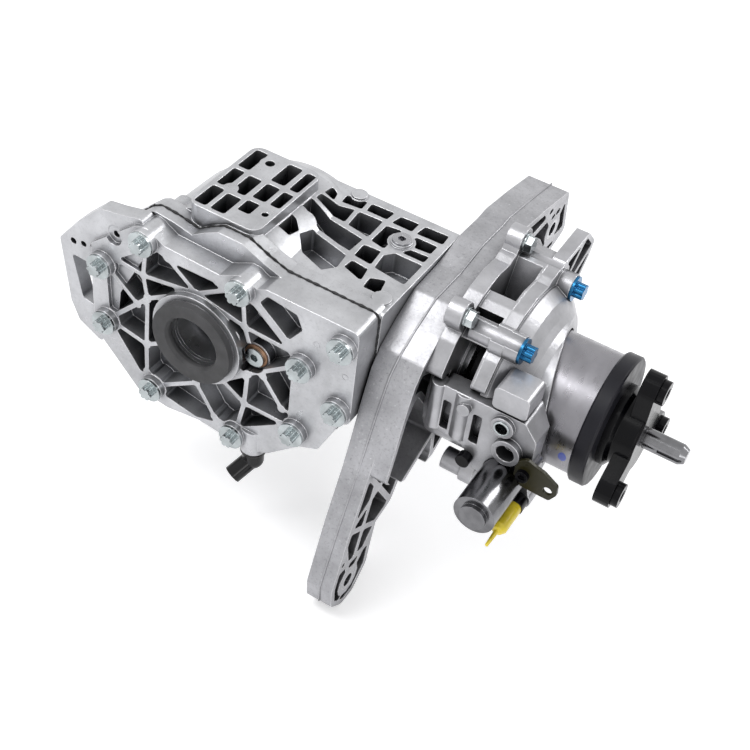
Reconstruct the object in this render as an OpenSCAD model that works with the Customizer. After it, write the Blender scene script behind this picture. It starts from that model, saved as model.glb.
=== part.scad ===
// Rear differential with electro-hydraulic input clutch.
// Millimetres, +Z up. +X is the input axis, pointing out of the input flange.
// -Y is the ribbed cover side. The origin is the centre of the input flange front face.
// Shapes are drawn about the ring gear axis (x = 0) and moved back by flange_x at the end.

/* [Input flange] */
// Distance from the axle axis to the front faces of the flange bosses
flange_x = 361; // [340:1:380]
// Diameter of the three bolt bosses' circle
flange_pcd = 105; // [90:1:120]
// Thickness of the three-arm flange plate
flange_t = 14; // [10:1:20]
// Radius of the bolt hole in each arm
flange_hole_r = 5.1; // [4:0.1:6.5]
// Radius of the round boss around each arm hole
boss_r = 12.5; // [11:0.5:15]
// Radius of the flange hub behind the arms
hub_r = 35.5; // [28:0.5:40]
// Radius of the centring pin
pin_r = 9; // [6:0.5:12]
// How far the centring pin stands out of the flange
pin_out = 37; // [20:1:50]

/* [Damper and drum] */
// Outer radius of the clutch drum
drum_r = 54; // [48:0.5:60]
// Wall thickness of the clutch drum
drum_wall = 4.5; // [3:0.5:8]
// Outer radius of the damper ring
damper_r = 58; // [54:0.5:64]
// Width of the damper ring
damper_w = 14; // [8:1:20]

/* [Output side] */
// Outer radius of the output shaft seal
seal_or = 39; // [34:0.5:44]
// Inner radius of the output shaft seal
seal_ir = 24.5; // [20:0.5:28]
// Distance of the cover side seal face from the input axis
seal_y = 133; // [120:1:140]
// Distance of the far side seal face from the input axis
far_y = 88; // [80:1:100]

/* [Side cover] */
// Distance of the cover joint from the input axis
joint_y = 90; // [84:1:96]
// Thickness of the cover gasket
gasket_t = 0.8; // [0.4:0.1:1.5]
// Distance of the cover bolt seats from the input axis
seat_y = 126; // [118:1:130]
// Depth of the cover web pockets
pocket_d = 17; // [8:1:22]
// Width of the thin cover webs
web_w = 4; // [3:0.5:7]
// Radius of the cover bolt shanks
cover_bolt_r = 4; // [3:0.5:5]
// Radius of the washer under each cover bolt head
washer_r = 11.7; // [9:0.1:13]

/* [Gears] */
// Number of ring gear teeth
ring_z = 31; // [27:1:41]
// Number of pinion teeth
pinion_z = 12; // [10:1:15]
// Module of the ring gear and pinion
ring_m = 4.6; // [4:0.1:5]
// Number of side gear teeth
side_z = 16; // [14:2:20]
// Number of planet gear teeth
planet_z = 10; // [8:2:12]
// Module of the side and planet gears
side_m = 3.5; // [3:0.1:4]
// Total backlash as a share of the module
backlash = 0.12; // [0.06:0.01:0.2]

/* [Shafts and bearings] */
// Radius of the carrier journals
journal_r = 20; // [17.5:0.5:22.5]
// Radius of the bore through the cover side gear
axle_r = 13; // [11:0.5:15]
// Radius of the bore through the far side gear
axle_far_r = 12.5; // [11:0.5:15]
// Outer radius of the carrier bearings
brg_or = 36; // [32:0.5:40]
// Width of the carrier bearings
brg_w = 17; // [14:1:22]
// Radius of the pinion shaft
shaft_r = 15; // [12:0.5:18]
// Clearance of running fits, per side
fit = 0.05; // [0.02:0.01:0.1]
// Clearance between rollers and outer races
roll_gap = 0.3; // [0.2:0.05:0.5]

/* [Housing] */
// Height of the ribbed deck above the input axis
deck_z = 82; // [74:1:90]
// Height of the mounting pad above the input axis
pad_z = 104; // [96:1:112]
// Depth of the pad pockets
pad_pocket = 24; // [10:1:30]
// Radius of the threaded hole in the pad
pad_hole_r = 4.2; // [3.3:0.1:6]

/* [Bracket] */
// Position of the bracket rear face
brk_x = 150; // [140:1:160]
// Thickness of the upper part of the bracket
brk_t = 40; // [30:1:46]
// Thickness of the bracket leg
leg_t = 25; // [18:1:32]
// Rim and web thickness of the bracket
brk_w = 5.5; // [4:0.5:8]
// Radius of the mounting holes in the bracket
eye_r = 6.5; // [5:0.5:8]

/* [Hidden] */
$fn = 48;

// Cover bolt positions, x and z
bolts = [[-54.5, 75], [-99.5, 29], [-97, -33], [-48, -86], [39.5, -91],
  [99, -51], [136.5, -3], [101, 25], [136, 65], [40.5, 73.5]];
// Joint outline, x and z
joint_pts = [[-68, 86], [-60, 90], [-41, 88], [-23, 84], [-11, 92], [2, 99], [26, 99],
  [46, 90], [64, 84], [148, 84], [148.5, -14], [140, -18], [122, -60], [104, -68],
  [74, -96], [52, -106], [0, -102], [-34, -105], [-66, -101], [-112, -53], [-113, -22],
  [-113, 20], [-112, 44]];
cav_r = 75.5;
blue = [[-46, 72], [49, 71], [58, -66], [-52, -72]];
silver = [[-53, 86], [46, 97], [92, 12]];
cpl_x = brk_x + brk_t;
drum_x0 = 214;
drum_x1 = flange_x - 47;
plate_p = (drum_x1 - 250) / 8;
cpl_r = drum_r + 20;
rbolt_r = 58;
al = [0.8, 0.81, 0.83];
steel = [0.62, 0.63, 0.65];
dark = [0.2, 0.2, 0.22];
black = [0.08, 0.08, 0.09];

// Orientation helpers
module onx(x) translate([x, 0, 0]) rotate([90, 0, 90]) children();
module rodx(x, y, z, r, h) translate([x, y, z]) rotate([0, 90, 0]) cylinder(r = r, h = h);
module rody(x, y, z, r, h) translate([x, y, z]) rotate([-90, 0, 0]) cylinder(r = r, h = h);
module plate(y, t) translate([0, y, 0]) rotate([90, 0, 0]) linear_extrude(t) children();
module revx(p) rotate([0, 90, 0]) rotate_extrude() polygon(p);
module revy(p) rotate([-90, 0, 0]) rotate_extrude() polygon(p);
module seg(a, b, w) {
  d = b - a;
  translate(a) rotate(atan2(d[1], d[0])) translate([0, -w / 2]) square([norm(d), w]);
}
module part() translate([-flange_x, 0, 0]) children();

// Six-lobed bolt head outline
module star(r) {
  offset(r = 0.8, $fn = 12) offset(delta = -0.8) union() {
    for (a = [0:60:300]) rotate(a) translate([r * 0.68, 0]) circle(r * 0.34, $fn = 16);
    circle(r * 0.74, $fn = 24);
  }
}
// Flange bolt along -Z with its seat at z = 0
module bolt(sr, len, wr, hr, hh) {
  translate([0, 0, -len]) cylinder(r = sr, h = len);
  cylinder(r = wr, h = 2.4);
  translate([0, 0, 2.4]) linear_extrude(hh) star(hr);
}
module hexbolt(sr, len, wr, af, hh) {
  translate([0, 0, -len]) cylinder(r = sr, h = len);
  cylinder(r = wr, h = 1.6);
  translate([0, 0, 1.6]) cylinder(r = af / sqrt(3), h = hh, $fn = 6);
}

// Bevel gear functions on the equivalent spur gear
function inv(a) = tan(a) * 180 / PI - a;
function half_ang(rho, rv, t) = let (rb = rv * cos(20), q = max(rho, rb * 1.0001))
  t / 2 / rv * 180 / PI + inv(20) - inv(acos(rb / q));
// One flank point: [axial distance from apex, radius, half angle]
function flank(h, rp, d, t) = let (rv = rp / cos(d), rho = rv + h, r = rp + h * cos(d))
  [rp / tan(d) - h * sin(d), r, half_ang(rho, rv, t) * rho / r];
function hs(ad, de) = [-de, -de * 0.55, -de * 0.1, ad * 0.35, ad * 0.7, ad];
function section(z, rp, d, t, ad, de, k) = [for (i = [0:z - 1]) let (c = 360 / z * i)
  each concat(
    [for (h = hs(ad, de)) let (f = flank(h, rp, d, t))
      [k * f[1] * cos(c - f[2]), k * f[1] * sin(c - f[2]), k * f[0]]],
    [for (j = [5:-1:0]) let (f = flank(hs(ad, de)[j], rp, d, t))
      [k * f[1] * cos(c + f[2]), k * f[1] * sin(c + f[2]), k * f[0]]])];
// Toothed cone about +Z with its apex at the origin
module teeth(z, m, d, t, ad, de, face, zb = 0, zf = 99) {
  rp = z * m / 2;
  a0 = rp / sin(d);
  k = (a0 - face) / a0;
  o = section(z, rp, d, t, ad, de, 1);
  n = len(o);
  zo = flank(-de, rp, d, t)[0];
  pts = concat(o, section(z, rp, d, t, ad, de, k), [[0, 0, max(zo, zb)],
    [0, 0, min(zo * k, zf)]]);
  faces = concat(
    [for (i = [0:n - 1]) [i, 2 * n, (i + 1) % n]],
    [for (i = [0:n - 1]) [n + i, n + (i + 1) % n, 2 * n + 1]],
    [for (i = [0:n - 1]) [i, (i + 1) % n, n + i]],
    [for (i = [0:n - 1]) [(i + 1) % n, n + (i + 1) % n, n + i]]);
  polyhedron(points = pts, faces = faces);
}
ring_d = atan(ring_z / pinion_z);
pin_d = 90 - ring_d;
shift = 0.3;
ring_face = 22;
ring_rp = ring_z * ring_m / 2;
pin_rp = pinion_z * ring_m / 2;
tp = ring_m * (PI / 2 + 2 * shift * tan(20) - backlash / 2);
tr = ring_m * (PI / 2 - 2 * shift * tan(20) - backlash / 2);
side_d = atan(side_z / planet_z);
side_rp = side_z * side_m / 2;
planet_rp = planet_z * side_m / 2;
dshift = 0.32;
side_face = 10.5;
tpl = side_m * (PI / 2 + 2 * dshift * tan(20) - backlash / 2);
tsd = side_m * (PI / 2 - 2 * dshift * tan(20) - backlash / 2);

// Joint outline of cover and housing
module joint_shape() offset(r = 7, $fn = 24) offset(delta = -7) polygon(joint_pts);
module joint_holes(r) for (b = bolts) translate(b) circle(r);

// Main housing
pad_x0 = -38;
pad_x1 = 30;
pad_y0 = -88;
pad_y1 = 11;
pad_hole = [-14, -4];
pad_pin = [22, -64];
// Pad pockets as x0, y0, x1, y1
pad_cells = [[-34, -84, -22, -57], [-34, -53, -23, -27], [-34, -23, -22, 6], [-18, -84, -4, -59],
  [-18, -54, -5, -28], [0, -72, 12, -56], [0, -51, 13, -28], [-1, -23, 13, 6], [17, -51, 27, -29],
  [18, -24, 27, 5]];
module pad_pockets() offset(r = 2.5, $fn = 16) offset(delta = -2.5) difference() {
  for (c = pad_cells) translate([c[0], c[1]]) square([c[2] - c[0], c[3] - c[1]]);
  translate([-20, -52]) circle(6.5);
  translate(pad_hole) circle(9);
}
module rr(x0, y0, x1, y1, r) translate([x0, y0]) offset(r = r, $fn = 24)
  offset(delta = -r) square([x1 - x0, y1 - y0]);
// Deck pockets between the thin ribs, x and y
deck_cells = [
  [[33, 9], [33, 24], [40, 20], [43, 9]],
  [[47, 15], [46, 28], [65, 29], [66, 17]],
  [[70, 18], [69, 29], [91, 30], [90, 18]],
  [[33, -4], [33, 5], [62, 13], [64, -7], [40, -5]],
  [[68, -8], [66, 13], [89, 14], [90, -12]],
  [[28, -8], [34, -8], [88, -17], [87, -38], [50, -28], [34, -22], [28, -22]],
  [[50, -33], [88, -43], [90, -60], [82, -71], [58, -62], [46, -48]],
  [[28, -58], [28, -37], [36, -38], [44, -46], [42, -58]],
  [[93, -39], [92, -22], [108, -21], [110, -41]],
  [[94, -56], [95, -45], [111, -47], [114, -63]],
  [[119, -68], [118, -55], [130, -50], [134, -68]],
  [[114, -42], [112, -24], [118, -16], [144, -16], [144, -46]],
  [[95, 17], [98, 29], [115, 30], [115, 17]],
  [[94, -14], [94, 11], [108, 13], [108, -17]],
  [[119, 17], [121, 30], [143, 31], [144, 18]],
  [[120, 13], [142, 13], [142, 1], [120, -1]],
  [[118, -5], [143, -3], [143, -12], [118, -12]]];
module deck_pockets() offset(r = 2, $fn = 16) offset(delta = -2) difference() {
  for (c = deck_cells) polygon(c);
  translate([41, -31]) circle(9);
  translate([55, 32]) circle(8);
  translate([115, 0]) circle(12);
}
module barrel_shape() offset(r = 5, $fn = 24) offset(delta = -5) {
  translate([-joint_y + 1, 24]) square([joint_y + 41, deck_z - 24]);
  circle(50, $fn = 64);
}
module dots() {
  translate([41, -31]) circle(8);
  translate([55, 32]) circle(7);
  translate([115, 0]) circle(9.5);
  translate([139, -72]) circle(8);
}
module main_housing() color(al) difference() {
  union() {
    plate(-joint_y + 12, 12) joint_shape();
    for (b = bolts) rody(b[0], -joint_y, b[1], 11.5, 26);
    revy([[0, -80], [99, -80], [97, 0], [92, 25], [78, 48], [60, 64], [48, 68], [44, far_y - 5],
      [0, far_y - 5]]);
    translate([0, 0, 40]) linear_extrude(pad_z - 40) rr(pad_x0, pad_y0, pad_x1, pad_y1, 10);
    onx(14) linear_extrude(135.5) barrel_shape();
    onx(137) linear_extrude(12.7) offset(r = 4, $fn = 16) offset(delta = -4) circle(73);
    rodx(140, 0, 0, 43.9, cpl_x - 4 - 140);
    translate([0, 0, 60]) linear_extrude(deck_z + 2 - 60) dots();
  }
  // Ring gear chamber, carrier space and far bearing seat
  revy([[0, -joint_y - 1], [cav_r, -joint_y - 1], [cav_r, -12], [60, -12], [60, 41], [brg_or + fit, 41],
    [brg_or + fit, 44 + brg_w + 1], [30, 44 + brg_w + 1], [30, far_y - 18], [seal_or + 0.02, far_y - 18],
    [seal_or + 0.02, far_y], [0, far_y]]);
  // Pinion bore
  revx([[0, 40], [37.5, 40], [37.5, 76.8], [brg_or, 77], [brg_or, 96], [28, 96], [28, 122],
    [31, 122], [31, 141], [26, 141], [26, cpl_x - 12], [30, cpl_x - 12], [30, cpl_x], [0, cpl_x]]);
  translate([0, 0, pad_z - pad_pocket]) linear_extrude(pad_pocket + 1) pad_pockets();
  difference() {
    translate([0, 0, deck_z - 20]) linear_extrude(40) difference() {
      deck_pockets();
      rr(pad_x0 - 1, pad_y0 - 1, pad_x1 + 1, pad_y1 + 1, 1);
    }
    rody(0, -joint_y - 1, 0, cav_r + 4.5, joint_y - 7);
  }
  translate([pad_hole[0], pad_hole[1], pad_z - 20]) cylinder(r = pad_hole_r, h = 21);
  translate([pad_pin[0], pad_pin[1], pad_z - 14]) cylinder(r = 3, h = 15);
  translate([115, 0, deck_z - 11]) cylinder(r = 6, h = 20);
  for (b = bolts) rody(b[0], -joint_y - 1, b[1], cover_bolt_r + 0.02, 21);
}

// Side cover
rib_n = [[-58, 36], [-65, 1], [-33, 67], [-4, 45], [16, 68], [44, 35], [90, 33], [49, -15],
  [-56, -41], [-56, -74], [-3, -56], [17, -86], [47, -51], [84, -35], [24, -37], [-54, 13],
  [64, -9], [-30, -24], [-84, 39]];
// Web ends as pairs, where 0 to 18 are the nodes above and 20 to 29 the cover bolts
rib_e = concat(rib_n, [[49, 20]], bolts);
rib_p = [[0, 18], [18, 21], [0, 20], [0, 15], [1, 21], [21, 22], [1, 22], [1, 15], [15, 3], [0, 3],
  [20, 2], [2, 3], [2, 4], [4, 29], [3, 29], [3, 5], [29, 5], [5, 19], [5, 6], [29, 6], [6, 27],
  [7, 27], [7, 14], [7, 12], [14, 12], [12, 24], [12, 25], [16, 13], [15, 8], [8, 9], [9, 23],
  [8, 22], [8, 17], [23, 10], [10, 11], [11, 24]];
module ribs() {
  for (p = rib_p) seg(rib_e[p[0]], rib_e[p[1]], web_w);
  for (n = rib_n) translate(n) circle(4, $fn = 16);
}
module top_shape() offset(r = 6, $fn = 24) offset(delta = -6)
  polygon([[-66, 84], [-54, 88], [-36, 78], [18, 76], [38, 86], [54, 80], [62, 84], [148, 84],
    [148.5, -14], [140, -18], [122, -60], [104, -68], [74, -96], [52, -106], [0, -100],
    [-34, -105], [-66, -101], [-112, -53], [-113, -22], [-113, 20], [-112, 44]]);
module web_pockets() offset(r = 2, $fn = 12) offset(delta = -2) difference() {
  polygon([[-97, 22], [-84, 41], [-60, 60], [-44, 69], [12, 71], [30, 69], [56, 60], [84, 38],
    [91, 30], [91, -46], [78, -58], [48, -79], [24, -90], [-3, -98], [-37, -92], [-64, -76],
    [-86, -46], [-99, -26]]);
  ribs();
  circle(45);
  for (b = bolts) translate(b) circle(13);
}
lug_y = -joint_y - 26;
lug_hole = [-88, 62];
elbow_z = -106.5;
module side_cover() color(al) difference() {
  union() {
    difference() {
      union() {
        plate(-joint_y - gasket_t, 10) joint_shape();
        plate(-joint_y - 10, 20) top_shape();
      }
      // Sloping upper flank
      translate([-80, -joint_y - 8, 99]) rotate([-37.5, 0, 0])
        translate([0, -60, 0]) cube([140, 60, 40]);
      plate(-joint_y - 30 + pocket_d, 20) web_pockets();
      plate(-joint_y - 13, 20) offset(r = 3, $fn = 16) offset(delta = -3)
        polygon([[57, 68], [64, 78], [92, 74], [98, 61], [86, 44], [72, 56]]);
    }
    for (b = bolts) rody(b[0], -seat_y, b[1], 12, seat_y - joint_y - gasket_t);
    rody(0, -seal_y + 7, 0, 44, seal_y - 7 - joint_y - gasket_t);
    rody(0, -joint_y - 5, 0, 42.5, 25);
    rody(52, -joint_y - 22, 2, 13, 20);
    translate([54, -joint_y - 22, elbow_z]) cylinder(r = 12, h = 26);
    // Lifting lug, and the boss behind its hole
    rody(lug_hole[0], lug_y + 0.9, lug_hole[1], 8, 17.8);
    translate([0, lug_y + 14, 0]) rotate([90, 0, 0]) linear_extrude(14)
      offset(r = 4, $fn = 16) offset(delta = -4) difference() {
        polygon([[-150, 29], [-128, 57], [-104, 81], [-86, 84], [-62, 90], [-50, 70], [-86, 0],
          [-90, -40], [-110, -70], [-134, -57], [-142, -38]]);
        offset(r = 3, $fn = 12) offset(delta = -3)
          polygon([[-138, 17], [-128, -28], [-111, -31], [-106, -14], [-110, 12], [-122, 16]]);
      }
  }
  rody(lug_hole[0], lug_y - 9, lug_hole[1], 8.5, 9.4);
  rody(lug_hole[0], lug_y - 1, lug_hole[1], 3.2, 14.4);
  for (c = [[-135, 32, 3.2], [-124, 34, 3], [-114, 36, 2.6]]) rody(c[0], lug_y - 1, c[1], c[2], 9);
  rody(52, -joint_y - 31, 2, 12.5, 9);
  revy([[0, -seal_y - 1], [seal_or + 0.02, -seal_y - 1], [seal_or + 0.02, -seal_y + 12],
    [30, -seal_y + 12], [30, -89.5], [brg_or + fit, -89.5], [brg_or + fit, -60], [0, -60]]);
  for (b = bolts) rody(b[0], -seat_y - 1, b[1], cover_bolt_r + 0.5, 60);
  rody(52, -joint_y - 30, 2, 6.52, 16);
  rody(52, -joint_y - 30, 2, 4.5, 40);
  translate([54, -joint_y - 22, elbow_z - 1]) cylinder(r = 6.02, h = 12);
}
module cover_gasket() color(dark) plate(-joint_y, gasket_t) difference() {
  offset(r = 7, $fn = 24) offset(delta = -7) polygon(joint_pts);
  circle(cav_r);
  joint_holes(cover_bolt_r + 0.3);
}
module cover_bolts() color(steel) for (b = bolts)
  translate([b[0], -seat_y, b[1]]) rotate([90, 0, 0])
    bolt(cover_bolt_r, seat_y - joint_y + 18, washer_r, 6.3, 6.2);
module filler_plug() color(steel) translate([52, -joint_y - 22, 2]) rotate([90, 0, 0])
  difference() {
    union() {
      translate([0, 0, -7.8]) cylinder(r = 6.5, h = 9);
      translate([0, 0, 1.2]) cylinder(r = 9, h = 3);
    }
    translate([0, 0, -2]) cylinder(r = 4, h = 10, $fn = 6);
  }
module filler_washer() color([0.5, 0.33, 0.24]) translate([52, -joint_y - 22, 2])
  rotate([90, 0, 0]) difference() {
    cylinder(r = 11, h = 1.2);
    translate([0, 0, -1]) cylinder(r = 6.6, h = 3);
  }
module breather_elbow() color(black) translate([54, -joint_y - 22, elbow_z]) {
  cylinder(r = 6, h = 9);
  translate([0, 0, -3]) cylinder(r = 12, h = 3);
  translate([0, 0, -15]) cylinder(r = 10, h = 12);
  translate([0, 0, -15]) sphere(10);
  translate([0, 0, -15]) rotate([125, 0, -30]) cylinder(r = 8.5, h = 24);
}
module top_plug() color(steel) translate([115, 0, deck_z + 2]) difference() {
  union() {
    translate([0, 0, -12]) cylinder(r = 5.98, h = 12);
    cylinder(r = 8, h = 1.6);
  }
  translate([0, 0, -5]) cylinder(r = 3.6, h = 8, $fn = 6);
}

// Output seals with an oil lip
module out_seal(w) rotate_extrude() polygon([[seal_or, 0], [seal_or, w], [seal_ir + 5, w],
  [seal_ir + 5, w - 3], [seal_ir + 2, w - 3], [seal_ir, w - 6], [seal_ir, 3],
  [seal_ir + 2, 0]]);
module output_seal_left() color(dark) translate([0, -seal_y, 0]) rotate([-90, 0, 0]) out_seal(12);
module output_seal_right() color(dark) translate([0, far_y, 0]) rotate([90, 0, 0]) out_seal(12);

// Taper roller bearing about +Z, wide end of the cone at z = 0
module cup(ri, ro, w) rotate_extrude() polygon([[ro, 0], [ro, w], [ro - 3, w],
  [(ri + ro) / 2 + 2.6 + roll_gap + 1.5, 0]]);
module cone_set(ri, ro, w, n) {
  rm = (ri + ro) / 2;
  rotate_extrude() polygon([[ri, 0], [rm - 3, 0], [rm - 3, 2], [rm - 4, 2], [rm - 4, w - 2],
    [rm - 3, w - 2], [rm - 3, w], [ri, w]]);
  for (i = [0:n - 1]) rotate(360 / n * i) translate([rm - 1.2, 0, 2.2]) cylinder(r = 3.6, h = w - 4.4);
}
module cupb(ri, ro, w) rotate_extrude() polygon([[ro, 0], [ro, w], [(ri + ro) / 2 + 2.4 + roll_gap, w],
  [(ri + ro) / 2 + 2.4 + roll_gap, 0]]);
bl_y = -89;
br_y = 44 + 1;
module bearing_cup_left() color(steel) translate([0, bl_y, 0]) rotate([-90, 0, 0])
  cupb(journal_r, brg_or, brg_w);
module bearing_cone_left() color(steel) translate([0, bl_y, 0]) rotate([-90, 0, 0])
  cone_set(journal_r, brg_or, brg_w, 14);
module bearing_cup_right() color(steel) translate([0, br_y, 0]) rotate([-90, 0, 0])
  cupb(journal_r, brg_or, brg_w - 1);
module bearing_cone_right() color(steel) translate([0, br_y, 0]) rotate([-90, 0, 0])
  cone_set(journal_r, brg_or, brg_w - 1, 14);
module bearing_shim() color(steel) translate([0, bl_y - 0.5, 0]) rotate([-90, 0, 0])
  difference() {
    cylinder(r = brg_or - 0.1, h = 0.45);
    translate([0, 0, -1]) cylinder(r = 30.5, h = 3);
  }

// Differential case, ring gear and differential gears
case_r = 45.5;
cham_y = 28.1;
cham_r = 36.5;
hub_gr = 17;
pin_cr = 7;
module diff_case() color(dark) difference() {
  revy([[axle_r + 1, bl_y + 0.5], [journal_r, bl_y + 0.5], [journal_r, bl_y + brg_w + 0.2],
    [24, bl_y + brg_w + 0.2], [30, -57], [49, -53.2], [66, -53.2], [66, -45.2], [46.9, -45.2], [46.9, -30],
    [case_r, -29], [case_r, 26], [34, 38], [25, 44.8], [journal_r, 44.8],
    [journal_r, 60.5], [axle_r + 1, 60.5], [axle_r + 1, 43], [hub_gr + fit, 43], [hub_gr + fit, cham_y],
    [cham_r, cham_y], [cham_r, -cham_y], [hub_gr + fit, -cham_y], [hub_gr + fit, -43], [axle_r + 1, -43]]);
  translate([0, 0, -50]) cylinder(r = pin_cr + 0.02, h = 100);
  translate([0, 0, -36.1]) cylinder(r = 12, h = 72.2);
  rodx(-60, 0, 0, 19, 120);
  rody(0, -30, 41, 1.52, 45);
  for (a = [22.5:45:359]) rotate([0, a, 0]) rody(rbolt_r, -60, 0, 4.3, 20);
}
module ring_gear() color(steel) difference() {
  union() {
    rotate([90, 0, 0]) rotate(180 / ring_z)
      teeth(ring_z, ring_m, ring_d, tr, ring_m * (1 - shift), ring_m * (1.25 + shift), ring_face);
    rody(0, -45, 0, rbolt_r + 10, 11.4);
  }
  rody(0, -50, 0, 47, 60);
  for (a = [22.5:45:359]) rotate([0, a, 0]) rody(rbolt_r, -50, 0, 4.02, 12.5);
}
module ring_gear_bolts() color(dark) for (a = [22.5:45:359]) rotate([0, a, 0])
  translate([rbolt_r, -53.2, 0]) rotate([90, 0, 0]) {
    translate([0, 0, -15]) cylinder(r = 4, h = 15);
    cylinder(r = 7, h = 4.5, $fn = 6);
  }
module cross_pin() color(steel) difference() {
  translate([0, 0, -44.5]) cylinder(r = pin_cr, h = 89);
  rody(0, -30, 41, 1.52, 45);
}
module cross_pin_lock() color(dark) rody(0, -24, 41, 1.5, 34);
module side_gear(br) difference() {
  difference() {
    union() {
      rotate(180 / side_z)
        teeth(side_z, side_m, side_d, tsd, side_m * (1 - dshift), side_m * (1.25 + dshift), side_face);
      translate([0, 0, 20]) cylinder(r = 24, h = 6.8);
      translate([0, 0, 20]) cylinder(r = hub_gr, h = 22);
    }
    translate([0, 0, -5]) cylinder(r = br + 2, h = 21.5);
  }
  translate([0, 0, -5]) cylinder(r = br, h = 60);
}
module side_gear_left() color(steel) rotate([90, 0, 0]) side_gear(axle_r);
module side_gear_right() color(steel) rotate([-90, 0, 0]) side_gear(axle_far_r);
module planet() difference() {
  difference() {
    rotate(180 / planet_z) teeth(planet_z, side_m, 90 - side_d, tpl, side_m * (1 + dshift),
      side_m * (1.25 - dshift), side_face, 44, 10);
    translate([-30, -30, 34.4]) cube([60, 60, 20]);
    translate([-30, -30, -2.1]) cube([60, 60, 20]);
  }
  translate([0, 0, -5]) cylinder(r = pin_cr + fit, h = 60);
}
module planet_gear_a() color(steel) planet();
module planet_gear_b() color(steel) rotate([180, 0, 0]) planet();
module washer(ri, ro, z, t) difference() {
  translate([0, 0, z]) cylinder(r = ro, h = t);
  translate([0, 0, z - 1]) cylinder(r = ri, h = t + 2);
}
module thrust_washers() color([0.6, 0.45, 0.25]) {
  washer(pin_cr + 0.1, 11, 34.7, 1.3);
  rotate([180, 0, 0]) washer(pin_cr + 0.1, 11, 34.7, 1.3);
  rotate([90, 0, 0]) washer(hub_gr + 0.3, 26, 27, 1);
  rotate([-90, 0, 0]) washer(hub_gr + 0.3, 26, 27, 1);
}

// Pinion and its bearings
pr = 17.5;
module pinion() color(steel) union() {
  rotate([0, 90, 0]) teeth(pinion_z, ring_m, pin_d, tp, ring_m * (1 + shift),
    ring_m * (1.25 - shift), ring_face);
  revx([[0, 68], [20, 68], [23, 74], [23, 77], [pr, 77], [pr, 95], [shaft_r, 95], [shaft_r, drum_x1 - 24],
    [13, drum_x1 - 22], [0, drum_x1 - 22]]);
}
module pinion_cup_rear() color(steel) translate([77, 0, 0]) rotate([0, 90, 0])
  cupb(pr, brg_or - 0.02, 18);
module pinion_cone_rear() color(steel) translate([77, 0, 0]) rotate([0, 90, 0])
  cone_set(pr, brg_or - 0.02, 18, 14);
module pinion_spacer() color(steel) translate([95, 0, 0]) rotate([0, 90, 0])
  washer(shaft_r + 0.02, 19, 0, 28);
module pinion_cup_front() color(steel) translate([123, 0, 0]) rotate([0, 90, 0])
  cupb(shaft_r, 30.98, 17);
module pinion_cone_front() color(steel) translate([123, 0, 0]) rotate([0, 90, 0])
  cone_set(shaft_r, 30.98, 17, 12);
module pinion_nut() color(steel) translate([140, 0, 0]) rotate([0, 90, 0]) difference() {
  cylinder(r = 22, h = 9, $fn = 6);
  translate([0, 0, -1]) cylinder(r = shaft_r + 0.02, h = 12);
}
module pinion_seal() color(dark) translate([178, 0, 0]) rotate([0, 90, 0])
  rotate_extrude() polygon([[29.98, 0], [29.98, 8], [20, 8], [18, 6], [15.4, 5], [15.4, 3],
    [18, 0]]);

// Cross bracket, drawn in y and z and extruded along X
up_pts = [[176, 66], [128, 76], [84, 83], [69, 82], [37, 84], [0, 77], [-38, 76], [-66, 62],
  [-86, 48], [-97, 33], [-107, 4], [-118, -33], [-124, -55], [-100, -78], [-60, -96], [-34, -98],
  [0, -80], [34, -72], [62, -48], [78, -14], [112, 2], [160, 8], [188, 16]];
leg_pts = [[-90, 30], [-107, 4], [-118, -33], [-125, -55], [-146, -107], [-166, -168],
  [-164, -190], [-146, -205], [-126, -205], [-106, -186], [-102, -158], [-98, -138], [-74, -132],
  [-60, -108], [-34, -98], [-40, -40]];
eyes = [[-138, -178], [152, 38]];
module up_shape() offset(r = 6, $fn = 24) offset(delta = -6) polygon(up_pts);
module leg_shape() offset(r = 10, $fn = 24) offset(delta = -10) polygon(leg_pts);
// Bracket webs as end points
up_w = [[[0, 0], [-60, 66]], [[0, 0], [-90, 44]], [[0, 0], [-112, -4]], [[0, 0], [-120, -52]],
  [[0, 0], [-60, -96]], [[0, 0], [0, 90]], [[0, 0], [84, 84]], [[40, 60], [176, 60]],
  [[50, 30], [180, 20]], [[84, 84], [112, 0]], [[152, 38], [120, 80]], [[152, 38], [176, 66]],
  [[-60, -30], [-124, -55]]];
leg_w = [[[-34, -60], [-146, -107]], [[-124, -55], [-74, -132]], [[-146, -107], [-98, -138]],
  [[-150, -120], eyes[0]], [[-98, -138], eyes[0]], [[-156, -150], [-100, -158]],
  [[-110, -80], [-130, -150]]];
module up_ribs() {
  circle(51);
  for (e = eyes) translate(e) circle(15);
  for (w = up_w) seg(w[0], w[1], brk_w);
}
module leg_ribs() {
  translate(eyes[0]) circle(16);
  for (w = leg_w) seg(w[0], w[1], brk_w);
}
module cross_bracket() color(al) difference() {
  union() {
    onx(brk_x) linear_extrude(brk_t) up_shape();
    onx(brk_x) linear_extrude(leg_t) leg_shape();
  }
  onx(brk_x + 7) linear_extrude(60) offset(r = 2.5, $fn = 12) offset(delta = -2.5) difference() {
    offset(delta = -brk_w) up_shape();
    up_ribs();
    leg_shape();
  }
  onx(brk_x + 7) linear_extrude(60) offset(r = 2.5, $fn = 12) offset(delta = -2.5) difference() {
    offset(delta = -brk_w) leg_shape();
    leg_ribs();
    circle(51);
  }
  rodx(brk_x - 1, 0, 0, 44, brk_t + 2);
  for (e = eyes) rodx(brk_x - 1, e[0], e[1], eye_r + 3.02, brk_t + 2);
}
module sleeve(e, t) translate([brk_x, e[0], e[1]]) rotate([0, 90, 0])
  washer(eye_r, eye_r + 3, 0, t);
module bracket_sleeves() color(steel) {
  sleeve(eyes[0], leg_t);
  sleeve(eyes[1], brk_t);
}

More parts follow.
